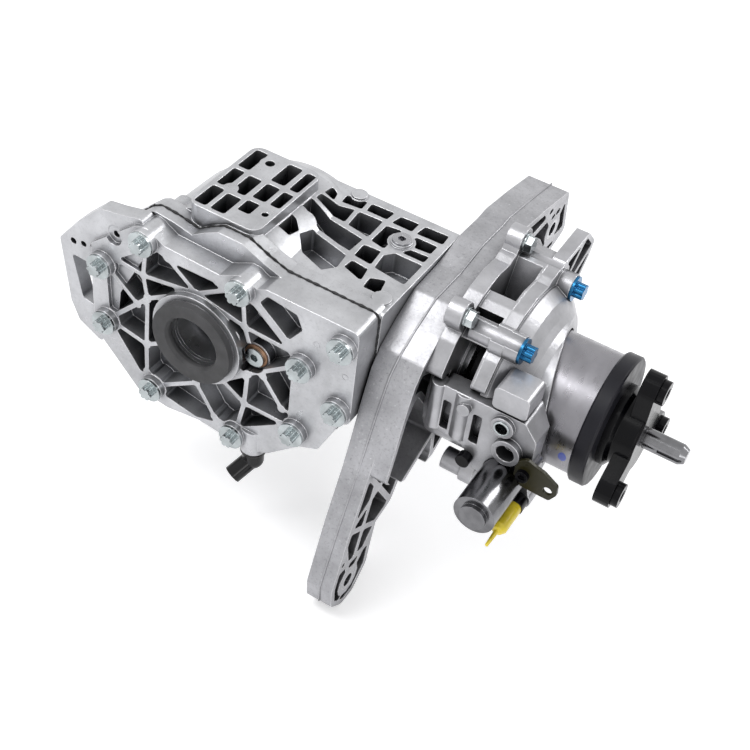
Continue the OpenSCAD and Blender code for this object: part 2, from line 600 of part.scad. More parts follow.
// Coupling housing
seam_z = 37;
mouth_x = drum_x1 - 38;
bx0 = 236;
bx1 = 249;
ear_pts = [[40, 90], [98, 92], [118, 72], [112, 58], [70, 10]];
module cpl_shape(r) offset(r = 5, $fn = 24) offset(delta = -5) {
  difference() {
    circle(r);
    translate([-200, seam_z - 237]) square([180, 237 + 0.3]);
  }
  circle(cpl_r);
  translate([42, 38]) circle(r - 36);
}
module coupling_housing() color(al) difference() {
  union() {
    onx(cpl_x + 0.1) linear_extrude(14) {
      cpl_shape(92);
      for (b = silver) seg([0, 0], b, 22);
      for (b = silver) translate(b) circle(12);
    }
    onx(cpl_x + 13) linear_extrude(26) cpl_shape(88);
    onx(cpl_x + 38) linear_extrude(12) offset(r = 3.8, $fn = 24) offset(delta = -4) {
      cpl_shape(88);
      for (b = blue) seg([0, 0], b, 26);
      for (b = blue) translate(b) circle(13);
      polygon(ear_pts);
    }
    difference() {
      revx([[0, 236], [drum_r + 30, 236], [drum_r + 30, 242], [drum_r + 24, 252], [drum_r + 15, 259],
        [drum_r + 10, 264], [drum_r + 7.5, 270], [drum_r + 7.5, drum_x1 - 14], [0, drum_x1 - 14]]);
      translate([mouth_x, 0, 0]) rotate([0, 0, 12.4]) rotate([0, -5.7, 0])
        translate([0, -90, -90]) cube([80, 180, 180]);
      onx(230) linear_extrude(60) difference() {
        translate([-200, seam_z - 237]) square([180, 237 + 0.3]);
        circle(cpl_r - 0.8);
      }
    }
    for (b = blue) rodx(236, b[0], b[1], 12, 16);
    for (b = blue) rodx(209, b[0], b[1], 10, 30);
    plate(-56, 28) rr(250, seam_z + 4, 280, seam_z + 25, 4);
  }
  revx([[0, 180], [24, 180], [24, 206], [drum_r + 4, 206], [drum_r + 4, bx0], [drum_r + 12, bx0],
    [drum_r + 12, bx1 + 1], [drum_r + 6, bx1 + 1], [drum_r + 6, 257], [drum_r + 2, 257],
    [drum_r + 2, drum_x1 - 4], [0, drum_x1 - 4]]);
  translate([197, 0, 0]) rotate([0, 90, 0]) washer(26, 46, 0, 12);
  // Upper window
  onx(204) linear_extrude(23) difference() {
    polygon([[0, 0], [60, 150], [-90, 150], [-150, 52]]);
    circle(drum_r + 2);
    polygon([[0, 0], [-20, 130], [-50, 130]]);
    for (b = blue) translate(b) circle(10.7);
  }
  // Ribbed far ear
  onx(cpl_x + 44) linear_extrude(30) offset(r = 2, $fn = 12) offset(delta = -2) difference() {
    offset(delta = -4.5) polygon(ear_pts);
    circle(drum_r + 34);
    seg([40, 40], [116, 70], 4);
    seg([60, 60], [96, 94], 4);
    translate(blue[1]) circle(16);
  }
  for (b = blue) rodx(211, b[0], b[1], 5.02, 80);
  for (b = blue) rodx(252, b[0], b[1], 11.6, 30);
  for (b = silver) rodx(cpl_x + 3, b[0], b[1], 4.4, 80);
  for (b = silver) rodx(cpl_x + 14, b[0], b[1], 9, 80);
}
module coupling_bolts_blue() color([0.15, 0.35, 0.75]) for (b = blue)
  translate([252, b[0], b[1]]) rotate([0, 90, 0]) bolt(5, 40, 11, 7, 8);
module coupling_bolts_silver() color(steel) for (b = silver)
  translate([cpl_x + 14.1, b[0], b[1]]) rotate([0, 90, 0]) hexbolt(4, 10.6, 8.5, 13, 6);
module clutch_piston() color(steel) translate([198, 0, 0]) rotate([0, 90, 0])
  washer(26 + fit, 46 - fit, 0, 10);

// Clutch
module clutch_basket() color(dark) revx([[drum_r - 6, drum_x0], [drum_r, drum_x0],
  [drum_r, bx1 + 2], [drum_r - 6, bx1 + 2]]);
module clutch_drum() color(steel) revx([[drum_r - drum_wall, bx1 + 2.1], [drum_r, bx1 + 2.1],
  [drum_r, drum_x1], [0, drum_x1], [0, drum_x1 - 14], [drum_r - drum_wall, drum_x1 - 14]]);
module clutch_hub() color(steel) translate([218, 0, 0]) rotate([0, 90, 0])
  washer(shaft_r + 0.02, 25, 0, drum_x1 - 244);
module clutch_plates_outer() color(dark) for (i = [0:7])
  translate([222 + plate_p * i, 0, 0]) rotate([0, 90, 0])
    washer(29, i < 4 ? drum_r - 6.1 : drum_r - drum_wall - 0.1, 0, plate_p * 0.375);
module clutch_plates_inner() color([0.45, 0.36, 0.28]) for (i = [0:6])
  translate([222 + plate_p * (i + 0.5), 0, 0]) rotate([0, 90, 0])
    washer(25.02, drum_r - 10, 0, plate_p * 0.375);
module drum_bearing_outer() color(steel) translate([bx0, 0, 0]) rotate([0, 90, 0])
  washer(drum_r + 9.2, drum_r + 11.98, 0, bx1 - bx0);
module drum_bearing_inner() color(steel) translate([bx0, 0, 0]) rotate([0, 90, 0]) {
  washer(drum_r + 0.02, drum_r + 3.6, 0, bx1 - bx0);
  for (a = [0:24:359]) rotate(a) translate([drum_r + 6, 0, 6.5]) sphere(2.8, $fn = 24);
}
module drum_seal() color(dark) translate([bx1 + 2, 0, 0]) rotate([0, 90, 0])
  washer(drum_r + 0.4, drum_r + 5.98, 0, 5);
module damper_ring() color(black) revx([[hub_r + 0.02, drum_x1 + 0.2], [damper_r - 1.5, drum_x1 + 0.2],
  [damper_r, drum_x1 + 1.7], [damper_r, drum_x1 + damper_w - 1.5], [damper_r - 1.5,
  drum_x1 + damper_w], [hub_r + 0.02, drum_x1 + damper_w]]);

// Input flange
plate_x = flange_x - 6;
module arms() offset(r = 10, $fn = 24) offset(delta = -20) offset(delta = 10) {
  circle(30);
  for (a = [90, 210, 330]) rotate(a) {
    translate([0, -14.5]) square([flange_pcd / 2, 29]);
    translate([flange_pcd / 2, 0]) circle(boss_r + 1);
  }
}
module input_flange() color(black) difference() {
  union() {
    revx([[0, drum_x1 + 0.1], [hub_r, drum_x1 + 0.1], [hub_r, plate_x - 21], [31, plate_x - 18],
      [31, plate_x - 2], [0, plate_x - 2]]);
    onx(plate_x - flange_t) linear_extrude(flange_t) arms();
  }
  for (a = [90, 210, 330]) rotate([a, 0, 0]) rodx(plate_x - 25, flange_pcd / 2, 0, 8.02, 40);
  rodx(plate_x - 25, 0, 0, pin_r - 0.98, 40);
}
module flange_inserts() color(black) for (a = [90, 210, 330]) rotate([a, 0, 0])
  translate([0, flange_pcd / 2, 0]) rotate([0, 90, 0]) difference() {
    union() {
      translate([0, 0, plate_x - flange_t]) cylinder(r = 8, h = flange_t + 6);
      translate([0, 0, plate_x + 0.05]) cylinder(r = boss_r - 2, h = 5.95);
    }
    translate([0, 0, plate_x - 25]) cylinder(r = flange_hole_r, h = 50);
  }
module centring_pin() color(steel) difference() {
  revx([[0, plate_x - 24.9], [pin_r - 1, plate_x - 24.9], [pin_r - 1, plate_x + 1],
    [pin_r, plate_x + 1], [pin_r, plate_x + pin_out - 5], [pin_r - 2.5, plate_x + pin_out],
    [0, plate_x + pin_out]]);
  translate([plate_x + 14, -pin_r - 2, -1.5]) cube([pin_out - 16, 4.5, 3]);
}

// Pump group on the cover side of the coupling
pump_y = -86;
body_y = pump_y + 4;
motor = [272, -28];
motor_y = -80;
motor_r = 18;
capc = [289, -49];
module pump_body() color(al) difference() {
  union() {
    plate(-30, -30 - body_y) offset(r = 3, $fn = 16) offset(delta = -3)
      polygon([[206, seam_z - 0.4], [280, seam_z - 0.4], [292, 22], [292, -22], [264, -36],
        [246, -36], [232, -16], [206, -12]]);
    rody(263, pump_y, 25, 9.8, 20);
    rody(271, pump_y - 2, 3, 12.2, 20);
    plate(-60, 17) {
      seg([280, -14], capc, 15);
      translate(capc) circle(9);
    }
    rody(290, pump_y, -8, 6, 20);
    for (c = [[226, 9], [203, 7]]) translate([c[0], body_y + c[1] - 3, -12]) cylinder(r = c[1], h = 48);
    rody(229, pump_y - 1, 25, 5.5, 10);
  }
  revx([[0, 180], [cpl_r + 0.4, 180], [cpl_r + 0.4, 256], [drum_r + 15.5, 259.3],
    [drum_r + 10.5, 264.3], [drum_r + 8, 270.3], [drum_r + 8, 310], [0, 310]]);
  rody(motor[0], body_y - 10, motor[1], motor_r + 0.4, 10 + motor_y - body_y);
  rody(263, pump_y - 5, 25, 7.02, 18.1);
  rody(271, pump_y - 5, 3, 8, 16);
  rody(290, pump_y - 5, -8, 3.02, 14);
  for (c = [[209.5, 217], [236.5, 244.5]]) plate(pump_y + 16, 30) rr(c[0], -9, c[1], 22, 2);
}
module port_bush() color(steel) translate([263, pump_y - 1, 25]) rotate([-90, 0, 0])
  washer(5.3, 7, 0, 14);
module pump_motor() color(steel) translate([motor[0], 0, motor[1]]) rotate([90, 0, 0]) difference() {
  union() {
    translate([0, 0, -motor_y]) cylinder(r = motor_r, h = 52);
    translate([0, 0, 52 - motor_y]) cylinder(r = 11.5, h = 4);
  }
  translate([0, 0, 4 - motor_y]) cylinder(r = 15.5, h = 45);
}
module pump_rotor() color(dark) translate([motor[0], 0, motor[1]]) rotate([90, 0, 0]) {
  translate([0, 0, 4.3 - motor_y]) cylinder(r = 3.5, h = 44.4);
  translate([0, 0, 9 - motor_y]) cylinder(r = 14, h = 34);
}
module pump_plate() color([0.16, 0.16, 0.1]) plate(pump_y, 3) difference() {
  offset(r = 3, $fn = 16) offset(delta = -3) polygon([[282, 2], [290, 9], [298, 6], [306, 4],
    [319, -4], [320, -13], [315, -22], [306, -22], [282, -21]]);
  translate([312, -13]) circle(4, $fn = 32);
  translate(motor) circle(motor_r + 0.5);
  translate([271, 3]) circle(12.7);
  translate([290, -8]) circle(3.3);
}
module pump_screws() color(dark) {
  translate([238, body_y, -26]) rotate([90, 0, 0]) cylinder(r = 6, h = 8);
  translate([290, pump_y - 3, -8]) rotate([90, 0, 0]) difference() {
    union() {
      cylinder(r = 5.5, h = 4);
      translate([0, 0, -8]) cylinder(r = 3, h = 9);
    }
    translate([0, 0, 1.5]) cylinder(r = 3.2, h = 4, $fn = 6);
  }
}
module cap_collar() color(black) rody(capc[0], -88, capc[1], 7.6, 11);
module yellow_cap() color([0.85, 0.75, 0.1]) translate([capc[0], -88, capc[1]]) rotate([90, 0, 0])
  rotate_extrude() polygon([[0, 0], [6.8, 0], [6.8, 26], [4.5, 30], [2.2, 31], [1.4, 48], [0, 48]]);

part() main_housing();
part() side_cover();
part() cover_gasket();
part() cover_bolts();
part() filler_plug();
part() filler_washer();
part() breather_elbow();
part() top_plug();
part() output_seal_left();
part() output_seal_right();
part() bearing_cup_left();
part() bearing_cone_left();
part() bearing_cup_right();
part() bearing_cone_right();
part() bearing_shim();
part() diff_case();
part() ring_gear();
part() ring_gear_bolts();
part() cross_pin();
part() cross_pin_lock();
part() side_gear_left();
part() side_gear_right();
part() thrust_washers();
part() planet_gear_a();
part() planet_gear_b();
part() pinion();
part() pinion_cup_rear();
part() pinion_cone_rear();
part() pinion_spacer();
part() pinion_cup_front();
part() pinion_cone_front();
part() pinion_nut();
part() pinion_seal();
part() cross_bracket();
part() bracket_sleeves();
part() coupling_housing();
part() coupling_bolts_blue();
part() coupling_bolts_silver();
part() clutch_piston();
part() clutch_basket();
part() clutch_drum();
part() clutch_hub();
part() clutch_plates_outer();
part() clutch_plates_inner();
part() drum_bearing_outer();
part() drum_bearing_inner();
part() drum_seal();
part() damper_ring();
part() input_flange();
part() flange_inserts();
part() centring_pin();
part() pump_body();
part() port_bush();
part() pump_motor();
part() pump_rotor();
part() pump_plate();
part() pump_screws();
part() cap_collar();
part() yellow_cap();
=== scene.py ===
"""Looks of the rear differential. Metres, +X out of the input flange, -Y the ribbed cover side, +Z up."""
import math

import bpy
from mathutils import Matrix, Vector


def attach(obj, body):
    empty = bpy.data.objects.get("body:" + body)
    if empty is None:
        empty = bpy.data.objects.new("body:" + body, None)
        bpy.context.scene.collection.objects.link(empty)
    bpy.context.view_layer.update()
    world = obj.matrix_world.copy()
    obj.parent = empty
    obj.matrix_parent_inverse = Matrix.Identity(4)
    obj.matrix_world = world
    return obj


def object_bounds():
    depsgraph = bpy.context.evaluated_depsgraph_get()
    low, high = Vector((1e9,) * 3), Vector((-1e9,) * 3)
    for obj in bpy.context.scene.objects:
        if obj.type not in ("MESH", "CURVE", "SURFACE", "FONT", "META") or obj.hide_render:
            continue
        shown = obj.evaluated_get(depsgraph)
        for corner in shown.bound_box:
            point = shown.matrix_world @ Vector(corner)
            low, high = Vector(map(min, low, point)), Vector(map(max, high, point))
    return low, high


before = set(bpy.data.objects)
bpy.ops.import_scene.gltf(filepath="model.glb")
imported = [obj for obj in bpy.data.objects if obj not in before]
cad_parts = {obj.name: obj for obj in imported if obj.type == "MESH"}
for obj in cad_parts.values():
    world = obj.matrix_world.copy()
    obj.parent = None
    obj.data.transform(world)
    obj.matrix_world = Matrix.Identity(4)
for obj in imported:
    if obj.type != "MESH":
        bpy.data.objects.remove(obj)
lo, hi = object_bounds()
scene = bpy.context.scene
AXLE_X = 0.361  # from the axle axis to the origin, which is at the front of the input flange


def P(x, y, z):
    """A point of the frame, given in millimetres from where the axle and input axes cross."""
    return Vector((x / 1000 - AXLE_X, y / 1000, z / 1000))


# Camera
PHOTO_PX = 750  # width of the photograph
FOCAL_PX = 1361  # focal length in pixels of the photograph
SENSOR = 36
AZIMUTH, ELEVATION, ROLL = math.radians(25.5), math.radians(43.8), math.radians(8.0)
back = Vector((math.sin(AZIMUTH) * math.cos(ELEVATION), -math.cos(AZIMUTH) * math.cos(ELEVATION),
               math.sin(ELEVATION)))
level = Vector((math.cos(AZIMUTH), math.sin(AZIMUTH), 0))
upright = back.cross(level)
cam_right = level * math.cos(ROLL) + upright * math.sin(ROLL)
cam_up = -level * math.sin(ROLL) + upright * math.cos(ROLL)
cam = bpy.data.objects.new("camera", bpy.data.cameras.new("camera"))
scene.collection.objects.link(cam)
place = Matrix((cam_right, cam_up, back)).transposed().to_4x4()
place.translation = P(489.8, -800.7, 775.5)
cam.matrix_world = place
cam.data.sensor_width = SENSOR
cam.data.lens = FOCAL_PX / PHOTO_PX * SENSOR
cam.data.clip_start, cam.data.clip_end = 0.05, 20
scene.camera = cam
scene.view_settings.view_transform = "Standard"


# Shader helpers
def add_node(tree, kind, **props):
    """A new node of this kind, with its settings."""
    node = tree.nodes.new(kind)
    for key, value in props.items():
        setattr(node, key, value)
    return node


def seen_by(tree, *rays):
    """1 for the named kinds of ray, and 0 for all others."""
    path = add_node(tree, "ShaderNodeLightPath")
    result = path.outputs[rays[0]]
    for ray in rays[1:]:
        either = add_node(tree, "ShaderNodeMath", operation="MAXIMUM")
        tree.links.new(result, either.inputs[0])
        tree.links.new(path.outputs[ray], either.inputs[1])
        result = either.outputs[0]
    return result


def shade(base, gain, more=0.0):
    """A colour made lighter or darker."""
    return tuple(min(1, c * gain + more) for c in base)


class Tree:
    """Short names for the nodes of one material. Colours are linear, lengths are metres."""

    def __init__(self, name):
        self.mat = bpy.data.materials.new(name)
        self.mat.use_nodes = True
        self.tree = self.mat.node_tree
        self.bsdf = self.tree.nodes["Principled BSDF"]
        self.coord = self.add("ShaderNodeTexCoord").outputs["Object"]

    def add(self, kind, **props):
        return add_node(self.tree, kind, **props)

    def link(self, a, b):
        self.tree.links.new(a, b)

    def scaled(self, scale):
        """The object's coordinates, stretched along each axis."""
        n = self.add("ShaderNodeMapping")
        self.link(self.coord, n.inputs["Vector"])
        n.inputs["Scale"].default_value = scale
        return n.outputs["Vector"]

    def noise(self, scale, detail=3.0, rough=0.5, vec=None):
        n = self.add("ShaderNodeTexNoise")
        self.link(vec or self.coord, n.inputs["Vector"])
        n.inputs["Scale"].default_value = scale
        n.inputs["Detail"].default_value = detail
        n.inputs["Roughness"].default_value = rough
        return n.outputs["Fac"]

    def ramp(self, fac, a, b, colour_a, colour_b):
        """Turns from one colour to the other as fac goes from a to b."""
        n = self.add("ShaderNodeValToRGB")
        self.link(fac, n.inputs["Fac"])
        for stop, at, colour in zip(n.color_ramp.elements, (a, b), (colour_a, colour_b)):
            stop.position, stop.color = at, (*colour, 1)
        return n.outputs["Color"]

    def span(self, fac, a, b, c, d):
        """Maps a to b onto c to d, and holds the ends."""
        n = self.add("ShaderNodeMapRange")
        self.link(fac, n.inputs["Value"])
        for key, value in zip(("From Min", "From Max", "To Min", "To Max"), (a, b, c, d)):
            n.inputs[key].default_value = value
        return n.outputs["Result"]

    def times(self, value, gain):
        n = self.add("ShaderNodeMath", operation="MULTIPLY")
        self.link(value, n.inputs[0])
        n.inputs[1].default_value = gain
        return n.outputs[0]

    def mix(self, fac, under, colour):
        """Covers what is under with a plain colour, as far as fac says."""
        n = self.add("ShaderNodeMix", data_type="RGBA")
        fac_in, under_in, colour_in, result = n.inputs[0], n.inputs[6], n.inputs[7], n.outputs[2]
        self.link(fac, fac_in)
        self.link(under, under_in)
        colour_in.default_value = (*colour, 1)
        return result

    def bump(self, height, strength, distance, normal):
        n = self.add("ShaderNodeBump")
        self.link(height, n.inputs["Height"])
        n.inputs["Strength"].default_value = strength
        n.inputs["Distance"].default_value = distance
        self.link(normal, n.inputs["Normal"])
        return n.outputs["Normal"]

    def edges(self, radius):
        """Softened normals, and a mask that is 1 near edges."""
        bevel = self.add("ShaderNodeBevel", samples=6)
        bevel.inputs["Radius"].default_value = radius
        surface = self.add("ShaderNodeNewGeometry")
        dot = self.add("ShaderNodeVectorMath", operation="DOT_PRODUCT")
        self.link(bevel.outputs["Normal"], dot.inputs[0])
        self.link(surface.outputs["Normal"], dot.inputs[1])
        return bevel.outputs["Normal"], self.span(dot.outputs["Value"], 1.0, 0.75, 0.0, 1.0)

    def recess(self, distance):
        """1 in the open, falling to 0 deep in a pocket."""
        n = self.add("ShaderNodeAmbientOcclusion", samples=8)
        n.inputs["Distance"].default_value = distance
        return n.outputs["AO"]


# Materials
WORN_AND_HIGHLIT_EDGE = (0.90, 0.90, 0.92)
PALE_FLECK = (0.80, 0.80, 0.82)
PAINTED_POCKET_SHADE = (0.003, 0.003, 0.004)  # painted shade at the bottom of the deepest pockets


def cast(name, base, recess_shade, fleck, shine):
    """Die-cast aluminium: grain, tone patches, dark and pale flecks, lighter edges from wear and a painted
    edge highlight, and painted shade in recesses.
    """
    t = Tree(name)
    col = t.ramp(t.noise(24, 4, 0.62), 0.32, 0.68, shade(base, 0.74), shade(base, 1.06))
    dots = t.noise(430, 4, 0.7)
    col = t.mix(t.span(dots, 0.46, 0.30, 0.0, fleck), col, shade(base, 0.45))
    col = t.mix(t.span(dots, 0.62, 0.74, 0.0, fleck), col, PALE_FLECK)
    # Painted shade: the colour darkens in recesses found by ambient occlusion, and turns near black in the
    # deepest pockets.
    openness = t.recess(0.024)
    col = t.mix(t.span(openness, 0.86, 0.30, 0.0, 0.92), col, recess_shade)
    col = t.mix(t.span(openness, 0.24, 0.05, 0.0, 0.97), col, PAINTED_POCKET_SHADE)
    soft, edge = t.edges(0.0011)
    # Lighter edges: wear, with a painted edge highlight.
    col = t.mix(t.times(edge, 0.7), col, WORN_AND_HIGHLIT_EDGE)
    grain = t.bump(t.noise(1500, 2, 0.6), 0.14, 0.0006, soft)
    pits = t.bump(t.noise(240, 4, 0.65), 0.26, 0.0008, grain)
    t.link(col, t.bsdf.inputs["Base Color"])
    t.link(t.span(t.noise(70, 4), 0.3, 0.7, shine, shine + 0.16), t.bsdf.inputs["Roughness"])
    t.link(pits, t.bsdf.inputs["Normal"])
    t.bsdf.inputs["Metallic"].default_value = 0.8
    return t.mat


def metal(name, base, rough=0.3, metallic=1.0, streak=(1, 1, 1), bump=0.12, edge=0.0005, dark=0.75):
    """Turned, plated or ground metal with fine marks along one direction."""
    t = Tree(name)
    soft, rim = t.edges(edge)
    col = t.ramp(t.noise(55), 0.3, 0.7, shade(base, dark), base)
    # Lighter edges: a painted edge highlight, with some wear.
    col = t.mix(t.times(rim, 0.35), col, shade(base, 1.35, 0.04))
    marks = t.noise(700, 2, 0.5, t.scaled(streak))
    t.link(col, t.bsdf.inputs["Base Color"])
    t.link(t.span(marks, 0.3, 0.7, rough * 0.8, rough * 1.25), t.bsdf.inputs["Roughness"])
    t.link(t.bump(marks, bump, 0.0003, soft), t.bsdf.inputs["Normal"])
    t.bsdf.inputs["Metallic"].default_value = metallic
    return t.mat


def moulded(name, base, rough=0.4, bump=0.1, edge_wear_and_highlight=0.12, coat=0.0, spec=0.5):
    """Rubber, paint or moulded plastic with a fine skin."""
    t = Tree(name)
    soft, rim = t.edges(0.0008)
    col = t.ramp(t.noise(70), 0.3, 0.7, shade(base, 0.8), shade(base, 1.12))
    # Lighter edges: wear, with a painted edge highlight.
    col = t.mix(t.times(rim, edge_wear_and_highlight), col, shade(base, 1, 0.25))
    t.link(col, t.bsdf.inputs["Base Color"])
    t.link(t.span(t.noise(90), 0.3, 0.7, rough * 0.85, rough * 1.2), t.bsdf.inputs["Roughness"])
    t.link(t.bump(t.noise(1300, 3, 0.6), bump, 0.0003, soft), t.bsdf.inputs["Normal"])
    t.bsdf.inputs["Coat Weight"].default_value = coat
    t.bsdf.inputs["Specular IOR Level"].default_value = spec
    return t.mat


# The third colour of each casting is the painted shade in its recesses.
CAST = cast("cast_aluminium", (0.54, 0.545, 0.565), (0.085, 0.087, 0.097), fleck=0.3, shine=0.26)
BAND = cast("cast_bracket", (0.43, 0.43, 0.45), (0.06, 0.06, 0.066), fleck=0.6, shine=0.32)
SMOOTH = cast("cast_coupling", (0.45, 0.45, 0.47), (0.05, 0.05, 0.056), fleck=0.14, shine=0.28)
ZINC = metal("zinc_plate", (0.50, 0.54, 0.55), 0.22, bump=0.05, dark=0.62)
STEEL = metal("ground_steel", (0.46, 0.46, 0.48), 0.24, bump=0.08)
# Gear steel darkened to near black: painted shade for the inside of the housing.
GEAR = metal("gear_steel", (0.08, 0.08, 0.09), 0.34)
# Dark iron, darkened further as painted shade for the inside of the housing.
IRON = metal("dark_iron_and_painted_shade", (0.006, 0.006, 0.007), 0.45, metallic=0.8)
DRUM = metal("drum_steel", (0.28, 0.275, 0.295), 0.30, metallic=0.95, streak=(0.3, 0.1, 0.1), bump=0.02,
             edge=0.0006, dark=0.84)
CHROME = metal("polished_pin", (0.24, 0.24, 0.25), 0.16, streak=(0.04, 1.0, 1.0), bump=0.03, dark=0.5)
MOTOR = metal("motor_can", (0.22, 0.22, 0.23), 0.2, streak=(0.05, 1.2, 0.05), bump=0.03, dark=0.5)
BLUE = metal("blue_coat", (0.025, 0.17, 0.36), 0.22, metallic=0.85, bump=0.05, dark=0.5)
BRONZE = metal("bronze", (0.60, 0.42, 0.20), 0.35)
COPPER = metal("copper_ring", (0.42, 0.24, 0.15), 0.42, metallic=0.9)
RUBBER = moulded("seal_rubber", (0.085, 0.085, 0.088), 0.5, 0.12, spec=0.12)
DAMPER = moulded("damper_rubber", (0.010, 0.010, 0.014), 0.36, 0.05, edge_wear_and_highlight=0.08, spec=0.2)
BLACK = moulded("black_paint", (0.002, 0.002, 0.003), 0.2, 0.05, edge_wear_and_highlight=0.03, spec=0.14)
GLOSSY = moulded("black_plastic", (0.003, 0.003, 0.004), 0.12, 0.02, spec=0.3)
OLIVE = moulded("olive_black", (0.020, 0.018, 0.006), 0.3, 0.08, spec=0.25)
YELLOW = moulded("yellow_cap", (0.86, 0.68, 0.03), 0.3, 0.04, edge_wear_and_highlight=0.2, coat=0.3)
GASKET = moulded("gasket", (0.010, 0.010, 0.012), 0.6, spec=0.15)
PAPER = moulded("friction_paper", (0.20, 0.15, 0.10), 0.8)
PAINT = moulded("paint_dot", (0.10, 0.14, 0.50), 0.4, 0.05)
SEALANT = moulded("sealant", (0.008, 0.008, 0.009), 0.35, 0.1, spec=0.3)

LOOKS = {
    "main_housing": CAST, "side_cover": CAST, "coupling_housing": SMOOTH, "pump_body": SMOOTH,
    "cross_bracket": BAND, "cover_gasket": GASKET, "cover_bolts": ZINC, "coupling_bolts_silver": ZINC,
    "top_plug": STEEL, "filler_plug": ZINC, "filler_washer": COPPER, "breather_elbow": GLOSSY,
    "output_seal_left": RUBBER, "output_seal_right": RUBBER, "pinion_seal": RUBBER, "drum_seal": RUBBER,
    "bearing_cup_left": STEEL, "bearing_cone_left": STEEL, "bearing_cup_right": STEEL,
    "bearing_cone_right": STEEL, "bearing_shim": STEEL, "diff_case": IRON, "ring_gear": GEAR,
    "ring_gear_bolts": IRON, "cross_pin": STEEL, "cross_pin_lock": STEEL, "side_gear_left": GEAR,
    "side_gear_right": GEAR, "thrust_washers": BRONZE, "planet_gear_a": GEAR, "planet_gear_b": GEAR,
    "pinion": GEAR, "pinion_cup_rear": STEEL, "pinion_cone_rear": STEEL, "pinion_spacer": STEEL,
    "pinion_cup_front": STEEL, "pinion_cone_front": STEEL, "pinion_nut": STEEL, "bracket_sleeves": STEEL,
    "coupling_bolts_blue": BLUE, "clutch_piston": STEEL, "clutch_basket": IRON, "clutch_drum": DRUM,
    "clutch_hub": GEAR, "clutch_plates_outer": GEAR, "clutch_plates_inner": PAPER,
    "drum_bearing_outer": STEEL, "drum_bearing_inner": STEEL, "damper_ring": DAMPER, "input_flange": BLACK,
    "flange_inserts": BLACK, "centring_pin": CHROME, "port_bush": ZINC, "pump_motor": MOTOR,
    "pump_rotor": IRON, "pump_plate": OLIVE, "pump_screws": BLACK, "cap_collar": GLOSSY, "yellow_cap": YELLOW,
}
for node, look in LOOKS.items():
    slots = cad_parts[node].data.materials
    slots.clear()
    slots.append(look)


# Shapes of added pieces
def new_mesh(name, verts, faces, mat, smooth=True):
    """An object with this mesh and one material."""
    mesh = bpy.data.meshes.new(name)
    mesh.from_pydata([tuple(v) for v in verts], [], faces)
    mesh.update()
    mesh.materials.append(mat)
    for face in mesh.polygons:
        face.use_smooth = smooth
    obj = bpy.data.objects.new(name, mesh)
    scene.collection.objects.link(obj)
    return obj


def bead(name, pts, radius, mat, closed=False, wobble=0.0, ref=(1, 0, 0)):
    """A thin raised line through points, as a closed mesh tube. The wobble varies its width, and ref is
    a direction that the line never takes."""
    n, sides = len(pts), 8
    verts, faces = [], []
    for i, p in enumerate(pts):
        r = radius * (1 + wobble * (0.6 * math.sin(1.9 * i) + 0.4 * math.sin(0.7 * i + 1)))
        before = pts[(i - 1) % n] if closed or i > 0 else p
        after = pts[(i + 1) % n] if closed or i < n - 1 else p
        along = (after - before).normalized()
        side = along.cross(Vector(ref)).normalized()
        other = along.cross(side).normalized()
        for k in range(sides):
            w = 2 * math.pi * k / sides
            verts.append(p + side * math.cos(w) * r + other * math.sin(w) * r)
    for i in range(n if closed else n - 1):
        a, b = i * sides, ((i + 1) % n) * sides
        for k in range(sides):
            faces.append((a + k, a + (k + 1) % sides, b + (k + 1) % sides, b + k))
    if not closed:
        faces.append(tuple(range(sides - 1, -1, -1)))
        faces.append(tuple((n - 1) * sides + k for k in range(sides)))
    return new_mesh(name, verts, faces, mat)


def fillet(pts, radius, step):
    """A closed outline with its outer corners rounded, as points about step apart."""
    straight = 0.05  # a corner that turns less than this stays as it is
    share = 0.48  # of each side of a corner, the most that its arc takes
    arc_step = 0.25
    out, n = [], len(pts)
    for i in range(n):
        before, corner, after = (Vector(pts[(i + k) % n]) for k in (-1, 0, 1))
        u, v = (before - corner).normalized(), (after - corner).normalized()
        turn = math.pi - u.angle(v)
        if u.x * v.y - u.y * v.x < 0 or turn < straight:
            out.append(corner)
            continue
        cut = min(radius * math.tan(turn / 2), share * (before - corner).length,
                  share * (after - corner).length)
        r = cut / math.tan(turn / 2)
        centre = corner + (u + v).normalized() * r / math.cos(turn / 2)
        first, last = corner + u * cut - centre, corner + v * cut - centre
        parts = max(2, int(turn / arc_step))
        for j in range(parts + 1):
            spoke = (first * (1 - j / parts) + last * (j / parts)).normalized() * r
            out.append(centre + spoke)
    even = []
    for i, a in enumerate(out):
        b = out[(i + 1) % len(out)]
        parts = max(1, round((b - a).length / step))
        even += [a + (b - a) * (j / parts) for j in range(parts)]
    return even


def patch(name, x, theta, half_x, half_round, radius, mat):
    """An oval patch on a cylinder about the input axis, in millimetres and thinner at its rim."""
    rings, seg = 5, 28
    lift, rim_share = 0.00025, 0.1
    r = radius / 1000 + lift
    verts = [Vector((x / 1000 - AXLE_X, r * math.cos(theta), r * math.sin(theta)))]
    faces = [(0, 1 + k, 1 + (k + 1) % seg) for k in range(seg)]
    for j in range(1, rings + 1):
        r = radius / 1000 + lift * (1 if j < rings else rim_share)
        for k in range(seg):
            w = 2 * math.pi * k / seg
            dx, arc = half_x * math.cos(w) * j / rings, half_round * math.sin(w) * j / rings
            turn = theta + arc / radius
            verts.append(Vector(((x + dx) / 1000 - AXLE_X, r * math.cos(turn), r * math.sin(turn))))
    for j in range(rings - 1):
        a, b = 1 + j * seg, 1 + (j + 1) * seg
        for k in range(seg):
            faces.append((a + k, b + k, b + (k + 1) % seg, a + (k + 1) % seg))
    return new_mesh(name, verts, faces, mat)


def ring(name, x, y, z, big, small, mat):
    """A thin round ring in a plane square to Y, in millimetres, on the housing."""
    n = 48 if big > 10 else 24
    pts = [P(x + big * math.cos(2 * math.pi * k / n), y, z + big * math.sin(2 * math.pi * k / n))
           for k in range(n)]
    o = bead(name, pts, small / 1000, mat, closed=True, ref=(0, 1, 0))
    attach(o, "housing")


